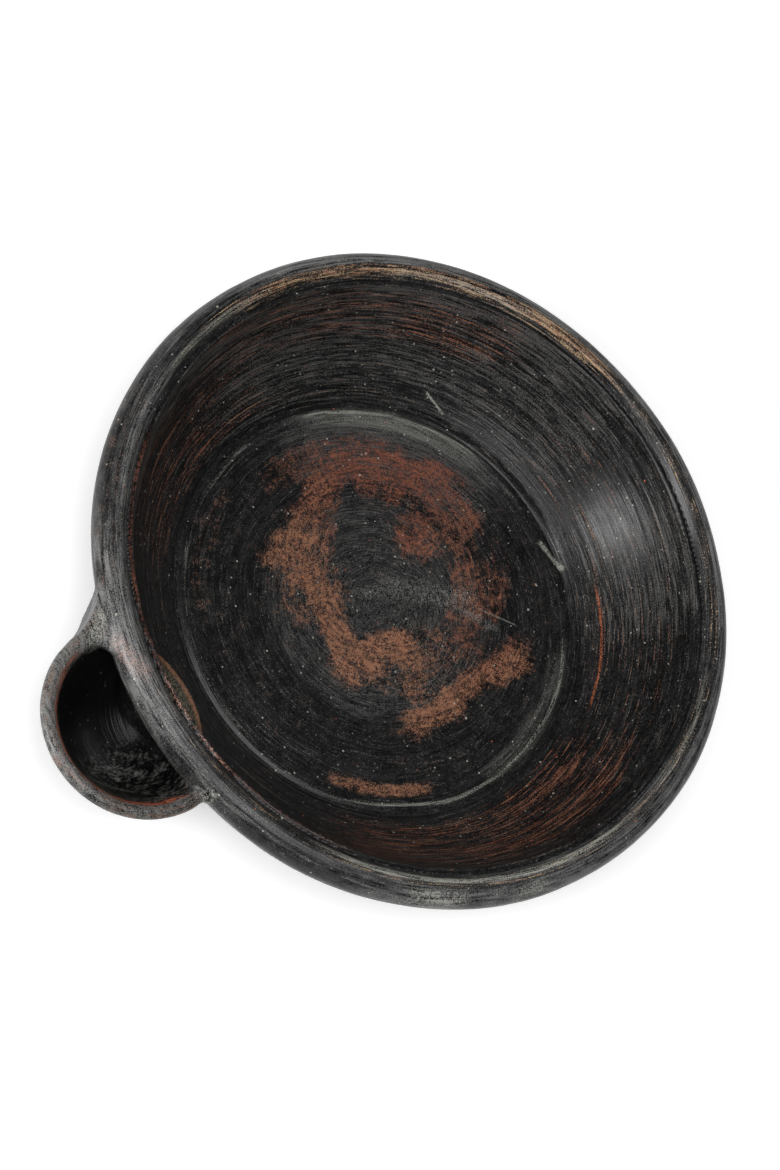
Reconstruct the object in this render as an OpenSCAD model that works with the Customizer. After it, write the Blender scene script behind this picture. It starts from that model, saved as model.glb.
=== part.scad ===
// Handled clay bowl. A wide turned bowl with a thick rolled rim and a hollow
// half-cup luted to its outside as a handle. The half-cup is open on top, and a
// round hole through the wall, under the rim, joins its inside to the bowl's.
// It is all one piece of fired clay. Lengths are in millimetres. The foot rests
// on z = 0, the bowl's axis is the Z axis and the half-cup lies on +X.

/* [Bowl] */
// Diameter across the rim, at its widest
rim_d = 300; // [250:1:350]
// Height from the ground to the top of the rim
bowl_h = 64; // [58:1:80]
// Diameter of the flat floor inside
floor_d = 189; // [160:1:205]
// Thickness of the bottom
bottom_t = 8.2; // [6:0.1:11]
// Thickness of the wall, square to its surface
wall_t = 8; // [6:0.1:10]
// How far the wall bows outwards between the floor and the rim
wall_bow = 6; // [4:0.5:8]

/* [Rim] */
// Diameter of the rim's rolled section
roll_d = 19; // [16:0.5:22]
// Width of the step between the rim's crest and the inner wall
step_w = 6.8; // [5.5:0.1:8]
// Depth of the step's groove below the crest
step_h = 5; // [3:0.1:6]
// Width of the low lip between the groove and the inner wall
lip_w = 2.1; // [1.5:0.1:2.6]
// Height of that low lip above the groove
lip_h = 1.5; // [0.5:0.1:2]

/* [Half-cup] */
// Diameter across the half-cup's lip
cup_d = 87; // [74:0.2:96]
// Distance of the half-cup's axis beyond the rim's edge
cup_out = 0.3; // [-3:0.1:3]
// Thickness of the half-cup's wall and lip
cup_t = 6.3; // [5:0.1:7.5]
// Height of the half-cup's round bottom above the ground
cup_clear = 10; // [8:0.5:13]
// Slope of the half-cup's side from the level, in degrees
cup_slope = 62; // [58:1:66]
// Diameter of the clay smeared over each end of the half-cup's lip
smear_d = 14; // [10:0.5:16]

/* [Hole] */
// Diameter of the hole through the wall
hole_d = 40; // [32:1:44]
// Height of the hole's lowest point above the ground
hole_low = 18.8; // [17:0.1:21]
// How far the hole lies to one side of the half-cup's axis
hole_side = -2.6; // [-5:0.1:3]
// Width of the rim that bridges the hole
bridge_w = 12.6; // [11:0.1:14]
// Depth of the bridging rim, down from the crest
bridge_h = 15; // [13:0.5:17]

/* [Hidden] */
clay = [0.17, 0.16, 0.155];
cut_past = 1;      // how far a cut runs past the face that it opens
wide_fn = 180;     // sides of a wide circle in a preview
round_fn = 64;     // sides of a small circle in a preview
belly_runs = 7;    // straight runs along the half-cup's belly, from its bottom to its side
cup_thin = 0.98;   // the half-cup's wall, as a share of its lip's thickness
smear_low = 0.25;  // how far a smear's middle lies below the lip's, as a share of its diameter

// Rim: a round section whose inner shoulder is cut back to a groove and a low lip
rim_r = rim_d / 2;
roll_r = roll_d / 2;
roll_x = rim_r - roll_r;
roll_z = bowl_h - roll_r;
edge_x = roll_x - step_w;
groove_x = edge_x + lip_w;
groove_z = bowl_h - step_h;
edge_z = groove_z + lip_h;

// Wall: an arc from the floor's edge to the low lip, with its centre inside the bowl
floor_r = floor_d / 2;
run = edge_x - floor_r;
rise = edge_z - bottom_t;
chord = norm([run, rise]);
bow_r = chord * chord / (8 * wall_bow) + wall_bow / 2;
bow_x = (floor_r + edge_x) / 2 - (bow_r - wall_bow) * rise / chord;
bow_z = (bottom_t + edge_z) / 2 + (bow_r - wall_bow) * run / chord;

// Half-cup: a round belly below a cone that is tangent to it and to the round lip
cup_x = rim_r + cup_out;
lip_r = cup_t / 2;
lip_x = cup_d / 2 - lip_r;
side_x = lip_x + lip_r * sin(cup_slope);
side_z = roll_z - lip_r * cos(cup_slope);
side_drop = (side_z - cup_clear) * cos(cup_slope);
belly_r = (side_x * sin(cup_slope) - side_drop) / (1 - cos(cup_slope));
belly_z = cup_clear + belly_r;

// Hole, and the throat of clay around it
hole_r = hole_d / 2;
hole_z = hole_low + hole_r;
throat_r = hole_r + cup_t;
bridge_x = rim_r - bridge_w;
bridge_z = bowl_h - bridge_h;
smear_turn = 2 * asin(cup_d / 2 / rim_d);

// The outline of the bowl with its inside filled
module bowl_section() {
    intersection() {
        translate([bow_x, bow_z]) circle(r = bow_r + wall_t, $fn = 2 * wide_fn);
        square([rim_r, edge_z]);
    }
    translate([roll_x, roll_z]) circle(r = roll_r, $fn = round_fn);
}

// The bowl's inside, with the groove that runs round under the rim's crest
module inside_section() {
    intersection() {
        translate([bow_x, bow_z]) circle(r = bow_r, $fn = 2 * wide_fn);
        translate([0, bottom_t]) square([rim_r, bowl_h]);
    }
    polygon([
        [edge_x, edge_z],
        [groove_x, groove_z],
        [roll_x, bowl_h + cut_past],
        [roll_x, bowl_h + 2 * cut_past],
        [edge_x - step_w, bowl_h + 2 * cut_past],
        [edge_x - step_w, edge_z]
    ]);
}

// Half of the half-cup's section, a distance t inside its outer surface and up to a height.
// The belly's arc is drawn in straight runs, from a small flat on the axis to the cone.
module cup_section(t, top) {
    arc_r = belly_r - t;
    turns = [for (i = [1 : belly_runs]) cup_slope * i / belly_runs];
    cone_x = side_x - t * sin(cup_slope) + (top - side_z - t * cos(cup_slope)) / tan(cup_slope);
    polygon(concat(
        [[0, belly_z - arc_r * cos(turns[0])]],
        [for (turn = turns) [arc_r * sin(turn), belly_z - arc_r * cos(turn)]],
        [[cone_x, top], [0, top]]
    ));
}

// Clay smeared over one end of the half-cup's lip, where it crosses the rim's edge
module smear(side) {
    rotate([0, 0, side * smear_turn]) translate([rim_r, 0, roll_z - smear_low * smear_d])
        sphere(d = smear_d, $fn = round_fn);
}

module half_cup_outside() {
    translate([cup_x, 0, 0]) {
        rotate_extrude($fn = wide_fn) cup_section(0, side_z);
        rotate_extrude($fn = wide_fn) {
            translate([lip_x, roll_z]) circle(r = lip_r, $fn = round_fn);
            translate([0, side_z - cut_past]) square([lip_x, roll_z - side_z + cut_past]);
        }
    }
    intersection() {
        translate([floor_r, hole_side, hole_z]) rotate([0, 90, 0])
            cylinder(r = throat_r, h = cup_x - floor_r, $fn = wide_fn);
        translate([0, -rim_r, 0]) cube([rim_d, rim_d, roll_z]);
    }
}

module half_cup_inside() {
    translate([cup_x, 0, 0])
        rotate_extrude($fn = wide_fn) cup_section(cup_thin * cup_t, bowl_h + cut_past);
}

// The hole runs level through the wall and stops short of the rim
module hole() {
    difference() {
        translate([floor_r, hole_side, hole_z]) rotate([0, 90, 0])
            cylinder(r = hole_r, h = cup_x - floor_r, $fn = wide_fn);
        rotate_extrude($fn = wide_fn)
            translate([bridge_x, bridge_z]) square([rim_r, bowl_h]);
    }
}

module half_cup() {
    difference() {
        union() {
            half_cup_outside();
            smear(-1);
            smear(1);
        }
        half_cup_inside();
    }
}

module clay_bowl() {
    color(clay) difference() {
        union() {
            rotate_extrude($fn = wide_fn) bowl_section();
            half_cup();
        }
        rotate_extrude($fn = wide_fn) inside_section();
        hole();
    }
}

clay_bowl();
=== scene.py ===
# %% [markdown]
# # A handled clay bowl
# The real thing is one piece of fired clay: a wide bowl turned on a wheel, with a flat floor and a
# thick rolled rim, and a hollow half-cup pressed on outside the rim as a handle. The half-cup is open
# on top, and a round hole through the wall, under the rim, joins its inside to the bowl's.
# This lesson works in the order a potter would: turn the bowl, turn a small cup, cut away what would
# reach into the bowl, cut the hole, press the two together, smear the joins, and burnish the clay.

import math

import bpy
from mathutils import Matrix, Vector


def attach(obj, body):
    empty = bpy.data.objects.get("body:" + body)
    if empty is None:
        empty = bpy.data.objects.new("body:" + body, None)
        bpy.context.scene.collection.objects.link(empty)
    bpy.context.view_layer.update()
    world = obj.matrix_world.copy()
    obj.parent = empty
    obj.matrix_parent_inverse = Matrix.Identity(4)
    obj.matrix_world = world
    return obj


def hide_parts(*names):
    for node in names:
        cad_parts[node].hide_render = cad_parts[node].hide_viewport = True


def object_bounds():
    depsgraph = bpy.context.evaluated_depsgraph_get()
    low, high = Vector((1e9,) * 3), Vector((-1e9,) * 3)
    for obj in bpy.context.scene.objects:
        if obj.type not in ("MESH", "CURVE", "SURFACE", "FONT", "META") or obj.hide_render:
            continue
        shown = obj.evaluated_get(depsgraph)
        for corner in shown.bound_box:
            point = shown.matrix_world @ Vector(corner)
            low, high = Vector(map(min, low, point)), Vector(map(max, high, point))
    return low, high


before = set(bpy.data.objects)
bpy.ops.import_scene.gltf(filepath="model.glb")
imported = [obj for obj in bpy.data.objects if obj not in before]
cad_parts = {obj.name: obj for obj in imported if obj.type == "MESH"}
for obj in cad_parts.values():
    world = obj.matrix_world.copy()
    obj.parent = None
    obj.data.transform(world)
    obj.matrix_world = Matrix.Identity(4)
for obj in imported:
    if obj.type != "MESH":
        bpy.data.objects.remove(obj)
cad_low, cad_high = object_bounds()
print("nodes:", sorted(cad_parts), "box:", tuple(cad_low), tuple(cad_high))

# %% Lengths are written in millimetres, and MM makes them metres
MM = 0.001
RIM_R = -cad_low.x / MM
BOWL_H = cad_high.z / MM
SKIN = 0.2
print("rim radius", RIM_R, "height", BOWL_H)

# %% [markdown]
# ## The camera
# The photograph looks down into the bowl from the half-cup's side, at about 59 degrees, and the
# picture is turned by 51 degrees. A turned picture could be had by turning the object, but the object
# has to stay in its frame, so the camera is rolled instead. Its three directions are worked out from
# the azimuth, the elevation and the roll, and become the columns of its rotation.

# %% Camera
VIEW_AZIMUTH = math.radians(9.93)
VIEW_ELEVATION = math.radians(59.44)
VIEW_ROLL = math.radians(51.415)
VIEW_TARGET = Vector((16.63, -1.05, 55.6)) * MM
VIEW_DISTANCE = 1400 * MM
LENS = 99.62


def camera_directions(azimuth, elevation, roll):
    """The camera's right, up and back directions."""
    back = Vector((math.cos(elevation) * math.cos(azimuth), math.cos(elevation) * math.sin(azimuth),
                   math.sin(elevation)))
    level_up = Vector((-math.sin(elevation) * math.cos(azimuth),
                       -math.sin(elevation) * math.sin(azimuth), math.cos(elevation)))
    level_right = level_up.cross(back)
    right = math.cos(roll) * level_right + math.sin(roll) * level_up
    up = math.cos(roll) * level_up - math.sin(roll) * level_right
    return right, up, back


RIGHT, UP, BACK = camera_directions(VIEW_AZIMUTH, VIEW_ELEVATION, VIEW_ROLL)
turn = Matrix((RIGHT, UP, BACK)).transposed()
bpy.ops.object.camera_add(location=VIEW_TARGET + VIEW_DISTANCE * BACK, rotation=turn.to_euler())
camera = bpy.context.object
camera.data.lens = LENS
camera.data.clip_start = 0.1
camera.data.clip_end = 20
bpy.context.scene.camera = camera
print("camera at", tuple(camera.location))

# %% [markdown]
# ## Helpers
# Operators act on whatever is selected, so each helper starts with nothing selected. A turned form is
# one line of corners, extruded step by step and spun round an upright axis, as clay turns past a
# potter's thumb. The spin leaves a seam and two poles, so doubles are merged and the normals are made
# to point outwards again.

# %% Selecting, applying and cutting
def select_only(*pieces):
    """Selects these pieces and nothing else. The first becomes the active one."""
    bpy.ops.object.select_all(action="DESELECT")
    for piece in pieces:
        piece.select_set(True)
    bpy.context.view_layer.objects.active = pieces[0]


def finish_with(piece, kind, **settings):
    """Adds a modifier of that kind to a piece and applies it."""
    select_only(piece)
    bpy.ops.object.modifier_add(type=kind)
    modifier = piece.modifiers[-1]
    for name, value in settings.items():
        setattr(modifier, name, value)
    bpy.ops.object.modifier_apply(modifier=modifier.name)


def cut(piece, cutter):
    """Cuts the cutter's volume out of a piece."""
    finish_with(piece, "BOOLEAN", operation="DIFFERENCE", object=cutter, solver="EXACT")


def press_together(*pieces):
    """Joins pieces into the first one's mesh."""
    select_only(*pieces)
    if len(pieces) > 1:
        bpy.ops.object.join()
    return bpy.context.object


# %% Turning a form from its outline
MERGE = 0.002 * MM


def turned_form(name, outline, axis=(0.0, 0.0), steps=180):
    """Spins an outline of (distance from the axis, height) round an upright axis."""
    axis_x, axis_y = axis
    bpy.ops.object.select_all(action="DESELECT")
    bpy.ops.mesh.primitive_plane_add(size=1 * MM)
    piece = bpy.context.object
    piece.name = name
    bpy.ops.object.mode_set(mode="EDIT")
    bpy.ops.mesh.merge(type="CENTER")
    first_x, first_z = outline[0]
    bpy.ops.transform.translate(value=((axis_x + first_x) * MM, axis_y * MM, first_z * MM))
    for (from_x, from_z), (to_x, to_z) in zip(outline, outline[1:]):
        move = ((to_x - from_x) * MM, 0, (to_z - from_z) * MM)
        bpy.ops.mesh.extrude_region_move(TRANSFORM_OT_translate={"value": move})
    bpy.ops.mesh.select_all(action="SELECT")
    bpy.ops.mesh.spin(steps=steps, angle=2 * math.pi, center=(axis_x * MM, axis_y * MM, 0), axis=(0, 0, 1))
    bpy.ops.mesh.select_all(action="SELECT")
    bpy.ops.mesh.remove_doubles(threshold=MERGE)
    bpy.ops.mesh.normals_make_consistent(inside=False)
    bpy.ops.object.mode_set(mode="OBJECT")
    print(name, len(piece.data.vertices), "corners")
    return piece


def arc(centre_x, centre_z, radius, start, end, count):
    """Points along an arc in the outline's plane, by its start and end angle in degrees."""
    angles = [math.radians(start + (end - start) * i / (count - 1)) for i in range(count)]
    return [(centre_x + radius * math.cos(a), centre_z + radius * math.sin(a)) for a in angles]


# %% [markdown]
# ## The bowl's outline
# Half of the bowl's section, from the middle of the floor outwards: the flat floor with its slight
# throwing rings, the raised edge round the floor and the channel outside it, the wall's long arc, the
# low lip and the groove under the crest, two fine ridges on the crest, the roll of the rim, and the
# outside down to the foot. The waves on the floor and the wall are a few tenths of a millimetre, as a
# finger leaves them.

# %% Sizes of the bowl
FLOOR_R = 94.5
FLOOR_Z = 8.2
WALL_T = 8.0
WALL_BOW = 6.0
ROLL_R = 9.5
ROLL_X = RIM_R - ROLL_R
ROLL_Z = BOWL_H - ROLL_R
EDGE_X = ROLL_X - 6.8
EDGE_Z = BOWL_H - 3.5
run, rise = EDGE_X - FLOOR_R, EDGE_Z - FLOOR_Z
chord = math.hypot(run, rise)
BOW_R = chord * chord / (8 * WALL_BOW) + WALL_BOW / 2
BOW_X = (FLOOR_R + EDGE_X) / 2 - (BOW_R - WALL_BOW) * rise / chord
BOW_Z = (FLOOR_Z + EDGE_Z) / 2 + (BOW_R - WALL_BOW) * run / chord
print("wall arc", round(BOW_R, 2), "round", round(BOW_X, 2), round(BOW_Z, 2))

# %% The outline of the floor and the wall
FLOOR_WAVE = 0.10
WALL_WAVE = 0.14


def floor_line():
    """The floor with its throwing rings, out to its raised edge and the channel beyond."""
    rings = [(r, FLOOR_Z + FLOOR_WAVE * (math.sin(r / 2.3) + math.sin(r / 5.1))) for r in range(0, 88, 2)]
    edge = [(89.5, 8.3), (91.2, 8.55), (92.6, 8.75), (93.7, 8.7), (94.5, 8.35), (95.2, 7.95),
            (96.0, 7.8), (96.9, 8.1), (97.8, 9.0)]
    return rings + edge


def wall_line():
    """The wall's arc, with waves square to its surface, up to the low lip."""
    line = []
    start = math.degrees(math.atan2(10.6 - BOW_Z, 98.9 - BOW_X))
    end = math.degrees(math.atan2(EDGE_Z - 1.2 - BOW_Z, EDGE_X - 0.35 - BOW_X))
    count = 40
    for i, angle in enumerate(math.radians(start + (end - start) * k / (count - 1)) for k in range(count)):
        length = BOW_R * (angle - math.radians(start))
        fade = min(1, i / 4, (count - 1 - i) / 4)
        wave = WALL_WAVE * fade * (0.6 * math.sin(length * 1.15) + 0.4 * math.sin(length * 2.7 + 1))
        line.append((BOW_X + (BOW_R + wave) * math.cos(angle), BOW_Z + (BOW_R + wave) * math.sin(angle)))
    return line


# %% The outline of the rim and the outside
def rim_line():
    """The low lip, the groove, the crest's two ridges and the roll, round to its underside."""
    lip_and_groove = [(133.55, 60.1), (133.9, 60.6), (134.45, 60.7), (134.95, 60.3), (135.3, 59.6),
                      (135.6, 58.9), (136.05, 58.6), (136.5, 59.0), (136.9, 60.0)]
    crest = [(137.6, 61.2), (138.3, 62.2), (139.0, 62.95), (139.6, 63.4), (140.1, 63.55),
             (140.6, 63.35), (141.1, 63.3), (141.6, 63.5), (142.2, 63.5), (142.8, 63.2), (143.5, 63.0)]
    return lip_and_groove + crest + arc(ROLL_X, ROLL_Z, ROLL_R - SKIN, 67, -104, 40)


def outside_line():
    """The outside of the wall from under the roll to the foot, and the foot to the axis."""
    start = math.degrees(math.atan2(42.5 - BOW_Z, 135.3 - BOW_X))
    end = math.degrees(math.atan2(1.6 - BOW_Z, 98.1 - BOW_X))
    wall = arc(BOW_X, BOW_Z, BOW_R + WALL_T, start, end, 34)
    foot_edge = [(97.2, 1.0), (96.2, 0.5), (94.6, 0.3)]
    foot = [(r, 0.6 - 0.3 * (r / 90) ** 4) for r in range(90, -1, -5)]
    return wall + foot_edge + foot


# %% The bowl, turned from its outline
BOWL_OUTLINE = floor_line() + wall_line() + rim_line() + outside_line()
bowl = turned_form("clay_bowl_piece", BOWL_OUTLINE, steps=360)

# %% The rim pulled a little out of round
BULGES = ((126, 1.1), (-120, 0.4))
BULGE_REACH = 90 * MM


def pull_out(piece, direction, distance):
    """Pulls the rim out in one direction, in degrees, and takes the wall along with it."""
    out = Vector((math.cos(math.radians(direction)), math.sin(math.radians(direction)), 0))
    select_only(piece)
    bpy.ops.object.mode_set(mode="EDIT")
    bpy.ops.mesh.select_all(action="DESELECT")
    bpy.ops.object.mode_set(mode="OBJECT")
    edge = (ROLL_X + ROLL_R - SKIN) * MM
    for corner in piece.data.vertices:
        corner.select = corner.co.dot(out) > edge - 1 * MM and corner.co.z > ROLL_Z * MM
    bpy.ops.object.mode_set(mode="EDIT")
    bpy.ops.transform.translate(value=out * distance * MM, use_proportional_edit=True,
                                proportional_edit_falloff="SMOOTH", proportional_size=BULGE_REACH)
    bpy.ops.mesh.select_all(action="DESELECT")
    bpy.ops.object.mode_set(mode="OBJECT")


bpy.ops.object.select_all(action="DESELECT")
for direction, distance in BULGES:
    pull_out(bowl, direction, distance)
widest = max(corner.co.xy.length for corner in bowl.data.vertices) / MM
print("furthest from the axis:", round(widest, 2))

# %% [markdown]
# ## The half-cup
# The handle began as a small round cup. It is turned on its own axis, just outside the rim's edge,
# with a round belly, a straight flaring side and a thick round lip, and its wall is as thick as its
# lip. One spin makes outside and inside together.

# %% Sizes of the half-cup
CUP_X = RIM_R + 0.3
CUP_Y = 0.8
CUP_T = 6.3
LIP_R = CUP_T / 2
LIP_X = cad_high.x / MM - CUP_X - LIP_R - 0.5 * SKIN
CUP_SLOPE = 62
CUP_CLEAR = 10.0
slope = math.radians(CUP_SLOPE)
SIDE_X = LIP_X + LIP_R * math.sin(slope)
SIDE_Z = ROLL_Z - LIP_R * math.cos(slope)
BELLY_R = (SIDE_X * math.sin(slope) - (SIDE_Z - CUP_CLEAR) * math.cos(slope)) / (1 - math.cos(slope))
BELLY_Z = CUP_CLEAR + BELLY_R
print("half-cup lip radius", round(LIP_X + LIP_R, 2), "belly radius", round(BELLY_R, 2))

# %% The half-cup, and the shape of its inside
HOLLOW_T = 0.98 * CUP_T
ABOVE_Z = BOWL_H + 6


def cup_line(thickness, count=16):
    """The belly's arc from the axis up to where the straight side starts."""
    return arc(0, BELLY_Z, BELLY_R - thickness, -90, CUP_SLOPE - 90, count)


hollow_line = cup_line(HOLLOW_T)
lip_line = arc(LIP_X, ROLL_Z, LIP_R, CUP_SLOPE - 90, CUP_SLOPE + 90, 18)
outside_of_cup = cup_line(0) + lip_line
half_cup = turned_form("half_cup", outside_of_cup + hollow_line[::-1], (CUP_X, CUP_Y), steps=150)
side_run = (ABOVE_Z - hollow_line[-1][1]) / math.tan(slope)
hollow_top = (hollow_line[-1][0] + side_run, ABOVE_Z)
hollow = turned_form("hollow", hollow_line + [hollow_top, (0, ABOVE_Z)], (CUP_X, CUP_Y), steps=96)

# %% [markdown]
# ## Cutting and pressing together
# What would reach into the bowl is cut off the half-cup with the shape of the bowl's inside. The hole
# is a level cylinder, cut by hand a little to one side, and it stops short of the rim, which bridges
# it. A pad of clay fills the wide corner where the lip meets the rim. The narrow corner gets one too,
# but the cuts leave only a sliver of it, and the smoothing closes that corner. Adding everything with
# one exact union would leave sharp creases, so the pieces are only joined, and a voxel remesh then
# makes one even skin over them, as wet clay closes when it is pressed.

# %% The bowl's inside as a cutter
INSIDE_OUTLINE = (
    [(0, FLOOR_Z + 3)] + wall_line() + [(EDGE_X, EDGE_Z), (ROLL_X, BOWL_H + 8), (0, BOWL_H + 8)]
)
bowl_inside = turned_form("bowl_inside", INSIDE_OUTLINE, steps=180)
cut(half_cup, bowl_inside)

# %% The throat of clay round the hole, between the wall and the half-cup
HOLE_R = 20.0
HOLE_Y = -2.6
HOLE_Z = 18.8 + HOLE_R
THROAT_FROM = 112.0
CUTTER_SIZE = 200.0


def level_cylinder(name, radius, start_x, end_x, corners=96):
    """A cylinder along X round the hole's axis, finished at the origin."""
    middle = ((start_x + end_x) / 2 * MM, HOLE_Y * MM, HOLE_Z * MM)
    bpy.ops.object.select_all(action="DESELECT")
    bpy.ops.mesh.primitive_cylinder_add(vertices=corners, radius=radius * MM, depth=(end_x - start_x) * MM,
                                        location=middle, rotation=(0, math.pi / 2, 0))
    piece = bpy.context.object
    piece.name = name
    bpy.ops.object.transform_apply(location=True, rotation=True, scale=True)
    return piece


throat = level_cylinder("throat", HOLE_R + CUP_T, THROAT_FROM, CUP_X)
bpy.ops.mesh.primitive_cube_add(size=CUTTER_SIZE * MM,
                                location=(CUP_X * MM, 0, (ROLL_Z + CUTTER_SIZE / 2) * MM))
above_lip = bpy.context.object
for cutter in (above_lip, bowl_inside, hollow):
    cut(throat, cutter)
print("throat", len(throat.data.polygons), "faces")

# %% The hole, kept clear of the rim that bridges it
BRIDGE_X = RIM_R - 12.6
BRIDGE_Z = BOWL_H - 15.0
BRIDGE_OUTLINE = [(BRIDGE_X, BRIDGE_Z), (RIM_R + 2, BRIDGE_Z), (RIM_R + 2, ABOVE_Z),
                  (BRIDGE_X, ABOVE_Z), (BRIDGE_X, BRIDGE_Z)]
bridge = turned_form("bridge", BRIDGE_OUTLINE, steps=180)
hole = level_cylinder("hole", HOLE_R, FLOOR_R, CUP_X)
cut(hole, bridge)
for piece in (bowl, half_cup, throat):
    cut(piece, hole)
    print(piece.name, "with its hole:", len(piece.data.polygons), "faces")

# %% The mouth's outline, with its two corners wiped round
MOUTH_R = 35.6
MOUTH_X = RIM_R + 0.4
MOUTH_Z = 58.0
MOUTH_DEPTH = 30.0
CORNER_R = 5.0
bpy.ops.object.select_all(action="DESELECT")
bpy.ops.mesh.primitive_cylinder_add(vertices=128, radius=MOUTH_R * MM, depth=MOUTH_DEPTH * MM,
                                    location=(CUP_X * MM, CUP_Y * MM, MOUTH_Z * MM))
mouth = bpy.context.object
mouth.name = "mouth"
bpy.ops.object.transform_apply(location=True, rotation=True, scale=True)
bpy.ops.object.mode_set(mode="EDIT")
bpy.ops.mesh.select_all(action="SELECT")
bpy.ops.mesh.bisect(plane_co=(MOUTH_X * MM, 0, 0), plane_no=(1, 0, 0), use_fill=True, clear_inner=True)
bpy.ops.object.mode_set(mode="OBJECT")
finish_with(mouth, "BEVEL", width=CORNER_R * MM, segments=6, limit_method="ANGLE",
            angle_limit=math.radians(70))
print("mouth", len(mouth.data.polygons), "faces")

# %% Where a round tool touches the rim and the half-cup at once
def upright_cylinder(radius, x, y):
    """A tall cylinder to cut with."""
    bpy.ops.object.select_all(action="DESELECT")
    bpy.ops.mesh.primitive_cylinder_add(vertices=180, radius=radius * MM, depth=CUTTER_SIZE * MM,
                                        location=(x * MM, y * MM, CUTTER_SIZE / 4 * MM))
    piece = bpy.context.object
    bpy.ops.object.transform_apply(location=True, rotation=True, scale=True)
    return piece


def touching_circle(radius):
    """The centre of a circle outside the rim and the half-cup that touches both, on the +Y side."""
    from_bowl = RIM_R + radius
    from_cup = LIP_X + LIP_R + radius
    x = (from_bowl ** 2 - from_cup ** 2 + CUP_X ** 2) / (2 * CUP_X)
    return x, math.sqrt(from_bowl ** 2 - x ** 2)


# %% Pads of clay in the corners between the lip and the rim
PAD_TOP = 57.0
PAD_DEPTH = 20.0
PAD_FOOT_R = 6.0
PAD_EDGE = 2.6
UPPER_PAD = {"side": -1, "x": 147.0, "y": 46.0, "radius": 17.0, "thumb": 28.0}
LOWER_PAD = {"side": 1, "x": 146.0, "y": 44.5, "radius": 11.0, "thumb": 12.0}


def pad(side, x, y, radius, thumb):
    """A pad pressed into one corner, wiped hollow by a round thumb and clear of the mouth."""
    bpy.ops.object.select_all(action="DESELECT")
    bpy.ops.mesh.primitive_cone_add(vertices=72, radius1=PAD_FOOT_R * MM, radius2=radius * MM,
                                    depth=PAD_DEPTH * MM, location=(x * MM, (side * y + CUP_Y) * MM,
                                                                    (PAD_TOP - PAD_DEPTH / 2) * MM))
    piece = bpy.context.object
    bpy.ops.object.transform_apply(location=True, rotation=True, scale=True)
    thumb_x, thumb_y = touching_circle(thumb)
    wipe = upright_cylinder(thumb, thumb_x, side * thumb_y + CUP_Y)
    cut(piece, wipe)
    bpy.data.objects.remove(wipe)
    finish_with(piece, "BEVEL", width=PAD_EDGE * MM, segments=4, limit_method="ANGLE",
                angle_limit=math.radians(40))
    cut(piece, mouth)
    return piece


pads = [pad(**UPPER_PAD), pad(**LOWER_PAD)]
print("pads:", [len(piece.data.polygons) for piece in pads], "faces")

# %% Pressing together, and one even skin
VOXEL = 0.8 * MM
INNER_R = 145.5


def twin(*pieces):
    """A joined copy of some pieces."""
    copies = []
    for piece in pieces:
        copied = piece.copy()
        copied.data = piece.data.copy()
        bpy.context.collection.objects.link(copied)
        copies.append(copied)
    return press_together(*copies)


turned = twin(bowl)
inner_part = upright_cylinder(INNER_R, 0, 0)
cup_outside, pads_outside, handle = twin(half_cup), twin(*pads), twin(half_cup, *pads)
for piece in (cup_outside, pads_outside, handle):
    cut(piece, inner_part)
bowl = press_together(bowl, half_cup, throat, *pads)
finish_with(bowl, "REMESH", mode="VOXEL", voxel_size=VOXEL, adaptivity=0)
print("one skin:", len(bowl.data.polygons), "faces")

# %% [markdown]
# ## Smoothing the joins
# A wet thumb rounds the joins and leaves the turned surfaces alone. Two Vertex Weight Proximity
# modifiers measure how near each corner is to the bowl and to the handle, and a third multiplies them,
# so that only what is near both is smoothed strongly.

# %% Weights near the joins
JOIN_REACH = 6.5 * MM
HOLE_REACH = 3.0 * MM


def weigh_near(piece, group, target, near, far):
    """Fills a vertex group with 1 where the target is nearer than near, falling to 0 at far."""
    piece.vertex_groups.new(name=group)
    piece.vertex_groups[group].add(range(len(piece.data.vertices)), 1.0, "REPLACE")
    finish_with(piece, "VERTEX_WEIGHT_PROXIMITY", vertex_group=group, target=target,
                proximity_mode="GEOMETRY", proximity_geometry={"FACE"}, min_dist=far, max_dist=near)


def multiply_groups(piece, group, other):
    """Multiplies one vertex group by another."""
    finish_with(piece, "VERTEX_WEIGHT_MIX", vertex_group_a=group, vertex_group_b=other,
                mix_mode="MUL", mix_set="ALL")


# %% Near the bowl and the handle, near two joins, and near the hole's edge
weigh_near(bowl, "join", handle, 1.5 * MM, JOIN_REACH)
weigh_near(bowl, "on_bowl", turned, 1.5 * MM, JOIN_REACH)
multiply_groups(bowl, "join", "on_bowl")
weigh_near(bowl, "fill", pads_outside, 1.0 * MM, JOIN_REACH)
weigh_near(bowl, "on_cup", cup_outside, 1.0 * MM, JOIN_REACH)
multiply_groups(bowl, "fill", "on_cup")
weigh_near(bowl, "wiped", mouth, 0.8 * MM, HOLE_REACH)
weigh_near(bowl, "on_pads", pads_outside, 0.8 * MM, HOLE_REACH)
multiply_groups(bowl, "wiped", "on_pads")
weigh_near(bowl, "hole_edge", hole, 0.5 * MM, HOLE_REACH)
print("weights:", [group.name for group in bowl.vertex_groups])

# %% Smoothing, first a little all over, then at the hole's edges and the joins
SMOOTHING = {"hole_edge": 10, "wiped": 20, "fill": 50, "join": 60}
finish_with(bowl, "SMOOTH", factor=0.5, iterations=3)
for group, passes in SMOOTHING.items():
    finish_with(bowl, "SMOOTH", factor=0.5, iterations=passes, vertex_group=group)
    print("smoothed", group, passes, "times")

# %% [markdown]
# ## A hand-made form
# A turned bowl is never truly round. Two Displace modifiers move the skin by a fraction of a
# millimetre, one slowly round the whole bowl and one in small dents.

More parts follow.
